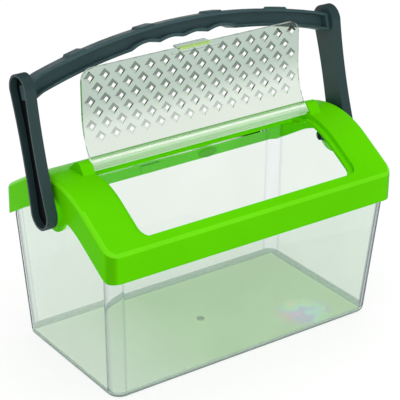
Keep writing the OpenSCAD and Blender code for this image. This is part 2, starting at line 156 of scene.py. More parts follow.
def pick(piece: bpy.types.Object, kind: Part, test: Callable[[Sequence[Vector]], bool]) -> int:
    """Selects the parts of a piece in edit mode whose corners pass a test.

    Args:
        piece: The object that is being edited.
        kind: Whether vertices, edges or faces are picked.
        test: Says whether a part with these corners is picked.

    Returns:
        How many parts were picked.
    """
    bpy.ops.mesh.select_mode(type=kind.value)
    bpy.ops.mesh.select_all(action="DESELECT")
    mesh = bmesh.from_edit_mesh(piece.data)
    picked = 0
    if kind is Part.VERTEX:
        for vertex in mesh.verts:
            if test([vertex.co]):
                vertex.select_set(True)
                picked += 1
    else:
        for item in mesh.edges if kind is Part.EDGE else mesh.faces:
            if test([vertex.co for vertex in item.verts]):
                item.select_set(True)
                picked += 1
    bmesh.update_edit_mesh(piece.data)
    return picked


def placed(name: str) -> bpy.types.Object:
    """Names the piece that was just added and puts its place into its mesh."""
    piece = bpy.context.active_object
    piece.name = name
    bpy.ops.object.transform_apply(location=True, rotation=True, scale=True)
    return piece


def box(name: str, low: Sequence[float], high: Sequence[float],
        turn: float = 0.0) -> bpy.types.Object:
    """Adds a box between two corners.

    Args:
        name: The box's name.
        low: Its lowest corner.
        high: Its highest corner.
        turn: Angle by which it is turned about X, about its own middle.

    Returns:
        The box.
    """
    deselect_all()
    middle = [(a + b) / 2 for a, b in zip(low, high)]
    bpy.ops.mesh.primitive_cube_add(
        size=1, location=middle, rotation=(turn, 0, 0),
        scale=[b - a for a, b in zip(low, high)],
    )
    return placed(name)


def rod(name: str, radius: float, start: float, end: float, y: float, z: float,
        sides: int = 48) -> bpy.types.Object:
    """Adds a round rod along X between start and end, on a line at y and z."""
    deselect_all()
    bpy.ops.mesh.primitive_cylinder_add(
        vertices=sides, radius=radius, depth=end - start,
        location=((start + end) / 2, y, z), rotation=(0, math.pi / 2, 0),
    )
    return placed(name)


def joined(name: str, pieces: Sequence[bpy.types.Object]) -> bpy.types.Object:
    """Joins pieces into one, which keeps the first one's place."""
    deselect_all()
    for piece in pieces:
        piece.select_set(True)
    bpy.context.view_layer.objects.active = pieces[0]
    if len(pieces) > 1:
        bpy.ops.object.join()
    pieces[0].name = name
    return pieces[0]


def combine(piece: bpy.types.Object, other: bpy.types.Object, way: Way) -> None:
    """Adds another piece to this one or cuts it out, and deletes the other."""
    modify(piece, "BOOLEAN", object=other, operation=way.value, solver="EXACT")
    bpy.data.objects.remove(other, do_unlink=True)


def seat(piece: bpy.types.Object, node: str, body: Body,
         finish: Finish) -> bpy.types.Object:
    """Dresses a piece, lets it stand for a CAD node and seats it on a body.

    Args:
        piece: The piece.
        node: The CAD node that it replaces.
        body: The body that it rides on.
        finish: Its finish.

    Returns:
        The piece.
    """
    piece.data.materials.clear()
    piece.data.materials.append(finish.material())
    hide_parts(node)
    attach(piece, body.value)
    log.info("%s: %d faces", piece.name, len(piece.data.polygons))
    return piece


def refined(node: str, name: str, edge: float, angle: float = 35.0) -> bpy.types.Object:
    """Copies a CAD node's mesh, merges it, rounds its edges and smooths it.

    Args:
        node: The CAD node that the copy stands for.
        name: The new piece's name.
        edge: Radius of the rounded edges.
        angle: Edges sharper than this, in degrees, are rounded.

    Returns:
        The new piece.
    """
    piece = bpy.data.objects.new(name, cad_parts[node].data.copy())
    bpy.context.scene.collection.objects.link(piece)
    activate(piece)
    bpy.ops.mesh.customdata_custom_splitnormals_clear()
    with editing(piece):
        bpy.ops.mesh.select_all(action="SELECT")
        bpy.ops.mesh.remove_doubles(threshold=0.03 * MM)
        bpy.ops.mesh.dissolve_limited(angle_limit=math.radians(0.5))
    if edge:
        modify(
            piece, "BEVEL", width=edge, segments=2, limit_method="ANGLE",
            angle_limit=math.radians(angle),
        )
    smooth(piece, angle)
    return piece


class NodeCanvas:
    """A node tree with short ways to add and join nodes."""

    def __init__(self, tree: bpy.types.NodeTree) -> None:
        """Keeps the tree that nodes are added to."""
        self.tree = tree

    def add(self, kind: str, inputs: Optional[dict] = None, **settings: object) -> bpy.types.Node:
        """Adds a node.

        Args:
            kind: Blender's type of the node.
            inputs: Values or sockets for its inputs, by name or by number.
            settings: Properties of the node.

        Returns:
            The new node.
        """
        node = self.tree.nodes.new(kind)
        for key, value in settings.items():
            setattr(node, key, value)
        for key, value in (inputs or {}).items():
            if isinstance(value, bpy.types.NodeSocket):
                self.tree.links.new(value, node.inputs[key])
            else:
                node.inputs[key].default_value = value
        return node

    def maths(self, operation: str, first: object, second: object = 0.0) -> bpy.types.NodeSocket:
        """Adds a Math node and returns its result."""
        return self.add("ShaderNodeMath", {0: first, 1: second}, operation=operation).outputs[0]

    def between(self, value: object, low: float, high: float, to_low: float = 0.0,
                to_high: float = 1.0) -> bpy.types.NodeSocket:
        """Maps a value from one range to another, with soft ends, and returns it."""
        node = self.add(
            "ShaderNodeMapRange", {0: value, 1: low, 2: high, 3: to_low, 4: to_high},
            interpolation_type="SMOOTHSTEP",
        )
        return node.outputs[0]

    def noise(self, place: object, scale: object, detail: float = 3.0,
              roughness: float = 0.5) -> bpy.types.NodeSocket:
        """Adds a Noise texture and returns its value."""
        node = self.add(
            "ShaderNodeTexNoise",
            {"Vector": place, "Scale": scale, "Detail": detail, "Roughness": roughness},
        )
        return node.outputs[0]

    def blend(self, share: object, first: object, second: object,
              blend_type: str = "MIX") -> bpy.types.NodeSocket:
        """Mixes two colours by a share and returns the result."""
        node = self.add(
            "ShaderNodeMix", {0: share, 6: first, 7: second}, data_type="RGBA",
            blend_type=blend_type,
        )
        return node.outputs[2]


def moulded_skin() -> bpy.types.NodeTree:
    """Builds the group for a moulded plastic's skin, or returns the one that is there.

    Returns:
        A group with a colour that drifts a little, a roughness with faint rubbed patches, and
        the height of a fine grain.
    """
    found = bpy.data.node_groups.get("moulded_skin")
    if found:
        return found
    group = bpy.data.node_groups.new("moulded_skin", "ShaderNodeTree")
    for name, kind, value in (
        ("Colour", "NodeSocketColor", (0.5, 0.5, 0.5, 1)),
        ("Drift", "NodeSocketFloat", 0.05),
        ("Roughness", "NodeSocketFloat", 0.3),
        ("Rub", "NodeSocketFloat", 0.06),
        ("Grain", "NodeSocketFloat", 900.0),
    ):
        socket = group.interface.new_socket(name, in_out="INPUT", socket_type=kind)
        socket.default_value = value
    for name, kind in (
        ("Colour", "NodeSocketColor"), ("Roughness", "NodeSocketFloat"),
        ("Height", "NodeSocketFloat"),
    ):
        group.interface.new_socket(name, in_out="OUTPUT", socket_type=kind)
    canvas = NodeCanvas(group)
    given = canvas.add("NodeGroupInput").outputs
    place = canvas.add("ShaderNodeTexCoord").outputs["Object"]
    flow = canvas.between(canvas.noise(place, 14.0, 2.0), 0.3, 0.7, -1.0, 1.0)
    drift = canvas.maths("MULTIPLY", flow, given["Drift"])
    value = canvas.maths("ADD", drift, 1.0)
    tinted = canvas.add(
        "ShaderNodeHueSaturation", {"Value": value, "Color": given["Colour"]}
    ).outputs[0]
    rub = canvas.between(canvas.noise(place, 55.0, 5.0, 0.65), 0.42, 0.72)
    roughness = canvas.maths(
        "ADD", given["Roughness"], canvas.maths("MULTIPLY", rub, given["Rub"])
    )
    height = canvas.noise(place, given["Grain"], 2.0)
    canvas.add("NodeGroupOutput", {"Colour": tinted, "Roughness": roughness, "Height": height})
    return group


@dataclass(frozen=True)
class MouldedFinish:
    """An opaque moulded plastic."""

    name: str
    colour: Colour
    drift: float
    roughness: float
    rub: float
    grain: float
    grain_depth: float
    specular: float = 0.5
    # Emission that lights the colour from within: painted light.
    glow: float = 0.0
    # Share by which upright corners are darkened: painted shade.
    painted_corner_shade: float = 0.0

    def material(self) -> bpy.types.Material:
        """Builds the material, or returns the one that is there."""
        found = bpy.data.materials.get(self.name)
        if found:
            return found
        material = bpy.data.materials.new(self.name)
        material.use_nodes = True
        canvas = NodeCanvas(material.node_tree)
        shader = material.node_tree.nodes["Principled BSDF"]
        skin = canvas.add(
            "ShaderNodeGroup",
            node_tree=moulded_skin(),
        )
        skin.inputs["Colour"].default_value = (*self.colour, 1)
        skin.inputs["Drift"].default_value = self.drift
        skin.inputs["Roughness"].default_value = self.roughness
        skin.inputs["Rub"].default_value = self.rub
        skin.inputs["Grain"].default_value = self.grain
        bump = canvas.add(
            "ShaderNodeBump",
            {"Height": skin.outputs["Height"], "Distance": self.grain_depth, "Strength": 1.0},
        )
        links = material.node_tree.links
        colour = self.shaded(canvas, skin.outputs["Colour"])
        links.new(colour, shader.inputs["Base Color"])
        links.new(skin.outputs["Roughness"], shader.inputs["Roughness"])
        links.new(bump.outputs[0], shader.inputs["Normal"])
        shader.inputs["Specular IOR Level"].default_value = self.specular
        # Painted light: the colour glows by this strength.
        if self.glow:
            links.new(skin.outputs["Colour"], shader.inputs["Emission Color"])
            shader.inputs["Emission Strength"].default_value = self.glow
        return material

    def shaded(self, canvas: NodeCanvas, colour: bpy.types.NodeSocket) -> bpy.types.NodeSocket:
        """Paints shade on upright rounded corners, where a face turns from the front to an end.

        Args:
            canvas: The material's node tree.
            colour: The plain colour.

        Returns:
            The colour with its painted corner shade.
        """
        if not self.painted_corner_shade:
            return colour
        normal = canvas.add("ShaderNodeTexCoord").outputs["Normal"]
        x, y, _ = canvas.add("ShaderNodeSeparateXYZ", {0: normal}).outputs
        turned = canvas.maths("ABSOLUTE", canvas.maths("MULTIPLY", x, y))
        value = canvas.between(turned, 0.22, 0.5, 1.0, 1.0 - self.painted_corner_shade)
        return canvas.add(
            "ShaderNodeHueSaturation", {"Value": value, "Color": colour}
        ).outputs[0]


def clear_skin() -> bpy.types.NodeTree:
    """Builds the group for a clear plastic's skin, or returns the one that is there.

    Returns:
        A group with a tint that goes from a low one to a high one between two heights, and the
        height of the slow waves that a mould leaves in a clear wall.
    """
    found = bpy.data.node_groups.get("clear_skin")
    if found:
        return found
    group = bpy.data.node_groups.new("clear_skin", "ShaderNodeTree")
    for name, kind, value in (
        ("Low Tint", "NodeSocketColor", (0.6, 0.7, 0.6, 1)),
        ("High Tint", "NodeSocketColor", (0.9, 0.95, 0.9, 1)),
        ("Low", "NodeSocketFloat", 0.0),
        ("High", "NodeSocketFloat", 0.1),
    ):
        socket = group.interface.new_socket(name, in_out="INPUT", socket_type=kind)
        socket.default_value = value
    for name, kind in (("Tint", "NodeSocketColor"), ("Height", "NodeSocketFloat")):
        group.interface.new_socket(name, in_out="OUTPUT", socket_type=kind)
    canvas = NodeCanvas(group)
    given = canvas.add("NodeGroupInput").outputs
    place = canvas.add("ShaderNodeTexCoord").outputs["Object"]
    level = canvas.add("ShaderNodeSeparateXYZ", {0: place}).outputs["Z"]
    share = canvas.between(level, given["Low"], given["High"])
    tint = canvas.blend(share, given["Low Tint"], given["High Tint"])
    flow = canvas.between(canvas.noise(place, 16.0, 2.0), 0.3, 0.7, 0.97, 1.0)
    drift = canvas.add("ShaderNodeHueSaturation", {"Value": flow, "Color": tint}).outputs[0]
    waves = canvas.noise(place, 9.0, 2.0)
    canvas.add("NodeGroupOutput", {"Tint": drift, "Height": waves})
    return group


@dataclass(frozen=True)
class ClearFinish:
    """A clear moulded plastic, tinted by height."""

    name: str
    low_tint: Colour
    high_tint: Colour
    low: float
    high: float
    roughness: float
    ior: float = 1.45
    wave: float = 0.02 * MM
    clearness: float = 1.0
    # Emission that lights the colour from within: painted light.
    glow: float = 0.0

    def material(self) -> bpy.types.Material:
        """Builds the material, or returns the one that is there."""
        found = bpy.data.materials.get(self.name)
        if found:
            return found
        material = bpy.data.materials.new(self.name)
        material.use_nodes = True
        canvas = NodeCanvas(material.node_tree)
        shader = material.node_tree.nodes["Principled BSDF"]
        skin = canvas.add("ShaderNodeGroup", node_tree=clear_skin())
        skin.inputs["Low Tint"].default_value = (*self.low_tint, 1)
        skin.inputs["High Tint"].default_value = (*self.high_tint, 1)
        skin.inputs["Low"].default_value = self.low
        skin.inputs["High"].default_value = self.high
        bump = canvas.add(
            "ShaderNodeBump",
            {"Height": skin.outputs["Height"], "Distance": self.wave, "Strength": 1.0},
        )
        tint, surface = self.edged(canvas, skin.outputs["Tint"], shader.outputs[0])
        links = material.node_tree.links
        links.new(tint, shader.inputs["Base Color"])
        links.new(bump.outputs[0], shader.inputs["Normal"])
        shader.inputs["Roughness"].default_value = self.roughness
        shader.inputs["IOR"].default_value = self.ior
        shader.inputs["Transmission Weight"].default_value = self.clearness
        # Painted light: the tint glows by this strength.
        if self.glow:
            links.new(skin.outputs["Tint"], shader.inputs["Emission Color"])
            shader.inputs["Emission Strength"].default_value = self.glow
        through = canvas.add("ShaderNodeBsdfTransparent", {"Color": skin.outputs["Tint"]})
        path = canvas.add("ShaderNodeLightPath")
        mixed = canvas.add(
            "ShaderNodeMixShader",
            {0: path.outputs["Is Shadow Ray"], 1: surface, 2: through.outputs[0]},
        )
        output = material.node_tree.nodes["Material Output"]
        links.new(mixed.outputs[0], output.inputs["Surface"])
        return material

    def edged(self, canvas: NodeCanvas, tint: bpy.types.NodeSocket,
              surface: bpy.types.NodeSocket) -> tuple[bpy.types.NodeSocket, bpy.types.NodeSocket]:
        """Returns the tint and the surface as they are, for a piece with no thick edges."""
        return tint, surface


def tub_edges() -> bpy.types.NodeTree:
    """Builds the group that finds a tapered tub's edges, or returns the one that is there.

    Returns:
        A group with masks for the upright corners, the lines where they run into the walls, and
        the rounded foot.
    """
    found = bpy.data.node_groups.get("tub_edges")
    if found:
        return found
    group = bpy.data.node_groups.new("tub_edges", "ShaderNodeTree")
    for name in (
        "Half Length", "Half Depth", "Length Flare", "Depth Flare", "Shoulder", "Corner",
        "Line", "Foot",
    ):
        group.interface.new_socket(name, in_out="INPUT", socket_type="NodeSocketFloat")
    for name in ("Corner", "Line", "Foot"):
        group.interface.new_socket(name, in_out="OUTPUT", socket_type="NodeSocketFloat")
    canvas = NodeCanvas(group)
    given = canvas.add("NodeGroupInput").outputs
    place = canvas.add("ShaderNodeTexCoord").outputs["Object"]
    x, y, z = canvas.add("ShaderNodeSeparateXYZ", {0: place}).outputs
    rise = canvas.maths("MINIMUM", canvas.maths("DIVIDE", z, given["Shoulder"]), 1.0)

    def inset(along: bpy.types.NodeSocket, half: str, flare: str) -> bpy.types.NodeSocket:
        edge = canvas.maths("ADD", given[half], canvas.maths("MULTIPLY", rise, given[flare]))
        return canvas.maths("SUBTRACT", edge, canvas.maths("ABSOLUTE", along))

    from_end = inset(x, "Half Length", "Length Flare")
    from_side = inset(y, "Half Depth", "Depth Flare")
    far = canvas.maths("MAXIMUM", from_end, from_side)
    near = canvas.maths("MINIMUM", from_end, from_side)
    low = canvas.maths("LESS_THAN", z, given["Foot"])
    high = canvas.maths("SUBTRACT", 1.0, low)
    corner = canvas.maths("MULTIPLY", high, canvas.maths("LESS_THAN", far, given["Corner"]))
    off = canvas.maths("ABSOLUTE", canvas.maths("SUBTRACT", far, given["Corner"]))
    line = canvas.maths("MULTIPLY", high, canvas.maths("LESS_THAN", off, given["Line"]))
    foot = canvas.maths("MULTIPLY", low, canvas.maths("LESS_THAN", near, given["Foot"]))
    canvas.add("NodeGroupOutput", {"Corner": corner, "Line": line, "Foot": foot})
    return group


@dataclass(frozen=True)
class TubFinish(ClearFinish):
    """Clear tub plastic with painted shade on its corners and foot, and a painted pale foot band.
    """

    half_length: float = 115.5 * MM
    half_depth: float = 60.75 * MM
    length_flare: float = 6.2 * MM
    depth_flare: float = 6.95 * MM
    shoulder: float = 97 * MM
    corner: float = 9.8 * MM
    line: float = 0.6 * MM
    foot: float = 4.5 * MM
    # Painted shade: darker tints for corners, their lines and the foot, and a dark depth colour.
    corner_painted_shade: Colour = (0.84, 0.88, 0.86)
    line_painted_shade: Colour = (0.68, 0.74, 0.75)
    foot_painted_shade: Colour = (0.74, 0.82, 0.79)
    painted_depths: Colour = (0.06, 0.1, 0.14)
    corner_painted_depth: float = 0.9
    # Painted light: a pale diffuse mixed into the foot band.
    foot_painted_light: Colour = (0.64, 0.76, 0.71)
    foot_painted_light_share: float = 0.4
    floor_top: float = 2.3 * MM
    painted_light_tint: Colour = (0.84, 0.94, 0.83)
    painted_light_end: tuple[float, float] = (-115 * MM, 0.0)
    strain_spot: tuple[float, float, float] = (71 * MM, -37 * MM, 1 * MM)
    strain_size: float = 27 * MM
    strain_share: float = 0.75

    def strained(self, canvas: NodeCanvas, tint: bpy.types.NodeSocket) -> bpy.types.NodeSocket:
        """Adds painted light, a floor paler towards its -X end, and the faint rainbow of moulding
        strain.

        Args:
            canvas: The material's node tree.
            tint: Tint of the plain walls, and of the floor with its painted shade.

        Returns:
            The tint with both in it.
        """
        place = canvas.add("ShaderNodeTexCoord").outputs["Object"]
        x, _, z = canvas.add("ShaderNodeSeparateXYZ", {0: place}).outputs
        floor = canvas.maths("LESS_THAN", z, self.floor_top)
        # Painted light: the floor grows paler towards its -X end.
        painted_pale = canvas.between(x, *self.painted_light_end, 1.0, 0.0)
        tint = canvas.blend(canvas.maths("MULTIPLY", painted_pale, floor), tint, (*self.painted_light_tint, 1))
        away = canvas.add(
            "ShaderNodeVectorMath", {0: place, 1: self.strain_spot}, operation="DISTANCE"
        ).outputs["Value"]
        near = canvas.between(away, 0.3 * self.strain_size, self.strain_size, 1.0, 0.0)
        share = canvas.maths("MULTIPLY", canvas.maths("MULTIPLY", near, floor), self.strain_share)
        hue = canvas.between(canvas.noise(place, 26.0, 2.0), 0.3, 0.7)
        pastel = canvas.add(
            "ShaderNodeCombineColor", {0: hue, 1: 0.28, 2: 0.95}, mode="HSV"
        ).outputs[0]
        return canvas.blend(share, tint, pastel)

    def edged(self, canvas: NodeCanvas, tint: bpy.types.NodeSocket,
              surface: bpy.types.NodeSocket) -> tuple[bpy.types.NodeSocket, bpy.types.NodeSocket]:
        """Paints shade on the tub's corners and foot, most where one looks along the wall.

        Args:
            canvas: The material's node tree.
            tint: Tint of the plain walls.
            surface: The clear plastic.

        Returns:
            The tint with painted edge shade; the surface with painted dark depths and a pale
            foot.
        """
        edges = canvas.add(
            "ShaderNodeGroup", {
                "Half Length": self.half_length, "Half Depth": self.half_depth,
                "Length Flare": self.length_flare, "Depth Flare": self.depth_flare,
                "Shoulder": self.shoulder, "Corner": self.corner, "Line": self.line,
                "Foot": self.foot,
            }, node_tree=tub_edges(),
        ).outputs
        tint = self.strained(canvas, tint)
        facing = canvas.add("ShaderNodeLayerWeight", {"Blend": 0.5}).outputs["Facing"]
        grazing = canvas.between(facing, 0.22, 0.85)
        zone = canvas.maths("MULTIPLY", edges["Corner"], self.corner_painted_depth)
        tint = canvas.blend(edges["Corner"], tint, (*self.corner_painted_shade, 1))
        tint = canvas.blend(edges["Foot"], tint, (*self.foot_painted_shade, 1))
        tint = canvas.blend(edges["Line"], tint, (*self.line_painted_shade, 1))
        # Painted shade: a dark diffuse mixed in where the corners are seen at a graze.
        dark = canvas.add("ShaderNodeBsdfDiffuse", {"Color": (*self.painted_depths, 1)})
        mixed = canvas.add(
            "ShaderNodeMixShader",
            {0: canvas.maths("MULTIPLY", zone, grazing), 1: surface, 2: dark.outputs[0]},
        )
        # Painted light: a pale diffuse mixed into the foot band.
        painted_pale = canvas.add("ShaderNodeBsdfDiffuse", {"Color": (*self.foot_painted_light, 1)})
        mixed = canvas.add("ShaderNodeMixShader", {
            0: canvas.maths("MULTIPLY", edges["Foot"], self.foot_painted_light_share),
            1: mixed.outputs[0], 2: painted_pale.outputs[0],
        })
        return tint, mixed.outputs[0]


@dataclass(frozen=True)
class BarrelFinish(ClearFinish):
    """Clear plastic of the hatch's barrel, with long stripes of painted reflection along it."""

    middle: float = 150 * MM
    reach: float = 7 * MM
    painted_stripes: tuple[tuple[float, Colour], ...] = (
        (0.0, (0.2, 0.6, 0.08)), (0.28, (0.55, 0.86, 0.42)), (0.42, (0.8, 0.97, 0.74)),
        (0.46, (0.2, 0.32, 0.14)), (0.5, (0.42, 0.6, 0.36)), (0.7, (0.5, 0.68, 0.46)),
        (0.76, (0.96, 1.0, 0.9)), (0.92, (0.98, 1.0, 0.95)), (1.0, (0.8, 0.9, 0.8)),
    )

    def edged(self, canvas: NodeCanvas, tint: bpy.types.NodeSocket,
              surface: bpy.types.NodeSocket) -> tuple[bpy.types.NodeSocket, bpy.types.NodeSocket]:
        """Lays the painted reflection stripes over the tint.

        Args:
            canvas: The material's node tree.
            tint: Tint of the plain plastic.
            surface: The clear plastic.

        Returns:
            The striped tint, and the surface as it is.
        """
        place = canvas.add("ShaderNodeTexCoord").outputs["Object"]
        level = canvas.add("ShaderNodeSeparateXYZ", {0: place}).outputs["Z"]
        share = canvas.add("ShaderNodeMapRange", {
            0: level, 1: self.middle - self.reach, 2: self.middle + self.reach,
        }).outputs[0]
        ramp = canvas.add("ShaderNodeValToRGB", {0: share})
        for spot, colour in self.painted_stripes[1:-1]:
            ramp.color_ramp.elements.new(spot).color = (*colour, 1)
        ramp.color_ramp.elements[0].color = (*self.painted_stripes[0][1], 1)
        ramp.color_ramp.elements[-1].color = (*self.painted_stripes[-1][1], 1)
        return canvas.blend(1.0, tint, ramp.outputs[0], "MULTIPLY"), surface


# The lid's green, with painted shade on its upright corners.
LID_GREEN = MouldedFinish(
    "lid_green_gloss", linear(98, 217, 0), 0.03, 0.25, 0.06, 700.0, 0.02 * MM, 0.02,
    painted_corner_shade=0.28,
)
# Lighter, faintly glowing green for the roof-to-skirt creases: a painted highlight.
LID_CREASE_HIGHLIGHT = MouldedFinish(
    "lid_green_crease_painted_highlight", linear(112, 227, 14), 0.03, 0.25, 0.06, 700.0, 0.02 * MM, 0.1, 0.03
)
# Strongly glowing green for the faces that look into the keeper: painted light in their shade.
LID_INSIDE_GLOW = MouldedFinish(
    "lid_green_inside_painted_light", linear(98, 217, 0), 0.03, 0.35, 0.06, 700.0, 0.02 * MM, 0.03, 0.42
)
HANDLE_DARK = MouldedFinish(
    "handle_dark_satin", linear(44, 66, 68), 0.06, 0.42, 0.12, 1500.0, 0.04 * MM, 0.25
)
# A lighter copy of the handle's dark plastic for the grip: painted light on its shaded front.
HANDLE_GRIP_LIT = MouldedFinish(
    "handle_dark_grip_painted_light", linear(61, 87, 90), 0.06, 0.42, 0.12, 1500.0, 0.04 * MM, 0.25
)
# Near-black for the floor of each arm's recess: painted shade.
HANDLE_RECESS_SHADE = MouldedFinish(
    "handle_recess_painted_shade", linear(8, 14, 17), 0.06, 0.6, 0.12, 1500.0, 0.04 * MM, 0.1
)
# The low tint paints shade and green light from the lid onto the tub's floor.
TUB_CLEAR = TubFinish(
    "clear_tub_wall", (0.65, 0.85, 0.59), (0.84, 0.9, 0.845), 2.05 * MM, 2.6 * MM, 0.0, 1.38
)
# The sheet is painted darker towards its top: painted shade and reflection of darker
# surroundings.
HATCH_CLEAR = ClearFinish(
    "clear_hatch_sheet", (0.81, 0.88, 0.79), (0.49, 0.59, 0.51), 163 * MM, 196 * MM, 0.02
)
# Pocket facets: painted shade, much darker on the upper facets than on the lower ones.
UPPER_FACET_SHADE = ClearFinish(
    "clear_upper_facet_painted_shade", (0.4, 0.47, 0.41), (0.07, 0.1, 0.08), 160 * MM, 196 * MM, 0.05, 1.08
)
LOWER_FACET_SHADE = ClearFinish(
    "clear_lower_facet_painted_shade", (0.7, 0.77, 0.7), (0.4, 0.48, 0.41), 160 * MM, 196 * MM, 0.05, 1.08
)
# Grey, half-milky, faintly glowing cut edges of the sheet: painted edge light and shade.
HATCH_RIM_EDGE_LIGHT = ClearFinish(
    "clear_hatch_rim_painted_edge_light", (0.55, 0.64, 0.62), (0.62, 0.72, 0.66), 163 * MM, 196 * MM, 0.1, 1.12,
    clearness=0.5, glow=0.05,
)
# Lime, faintly glowing free edge under the tab: a painted reflection of the green lid.
HATCH_GLINT = ClearFinish(
    "clear_hatch_glint", (0.5, 0.75, 0.2), (0.5, 0.75, 0.2), 163 * MM, 196 * MM, 0.1, 1.12,
    clearness=0.4, glow=0.05,
)
TUB_GATE = ClearFinish(
    "clear_tub_gate", (0.25, 0.33, 0.25), (0.25, 0.33, 0.25), 0.0, 1 * MM, 0.1, 1.38
)
TUB_SNAP = ClearFinish(
    "clear_tub_snap", (0.5, 0.6, 0.5), (0.62, 0.7, 0.62), 99 * MM, 105 * MM, 0.1, 1.38
)
TUB_RIM = ClearFinish(
    "clear_tub_rim", (0.8, 0.88, 0.82), (0.8, 0.88, 0.82), 90 * MM, 150 * MM, 0.1, 1.12
)
# The barrel glows faintly and carries painted reflection stripes.
HATCH_BARREL = BarrelFinish(
    "clear_hatch_barrel_painted_light", (0.93, 0.97, 0.93), (0.96, 0.99, 0.96), 148 * MM, 153 * MM, 0.1, 1.2,
    clearness=0.65, glow=0.12,
)


@dataclass(frozen=True)
class Roof:
    """Curve of the lid's roof from front to back, which the rim and the hatch follow."""

    slope: float = math.radians(31)
    crown: float = 70 * MM
    eaves: float = 118 * MM
    back: float = 71 * MM

    @property
    def centre(self) -> float:
        """Height of the crown's centre."""
        return (
            self.eaves + math.tan(self.slope) * (self.back - self.crown * math.sin(self.slope))
            - self.crown * math.cos(self.slope)
        )

    @property
    def apex(self) -> float:
        """Height of the ridge."""
        return self.centre + self.crown

    def height(self, y: float, drop: float = 0.0) -> float:
        """Height of the roof at y, lowered squarely by drop."""
        radius = self.crown - drop
        half = radius * math.sin(self.slope)
        if abs(y) < half:
            return self.centre + math.sqrt(radius**2 - y**2)
        return (
            self.centre + radius * math.cos(self.slope)
            - (abs(y) - half) * math.tan(self.slope)
        )


@dataclass(frozen=True)
class TubFinishes:
    """Finishes of the tub's walls, rim, gate mark and snaps."""

    wall: Finish
    rim: Finish
    gate: Finish
    snap: Finish


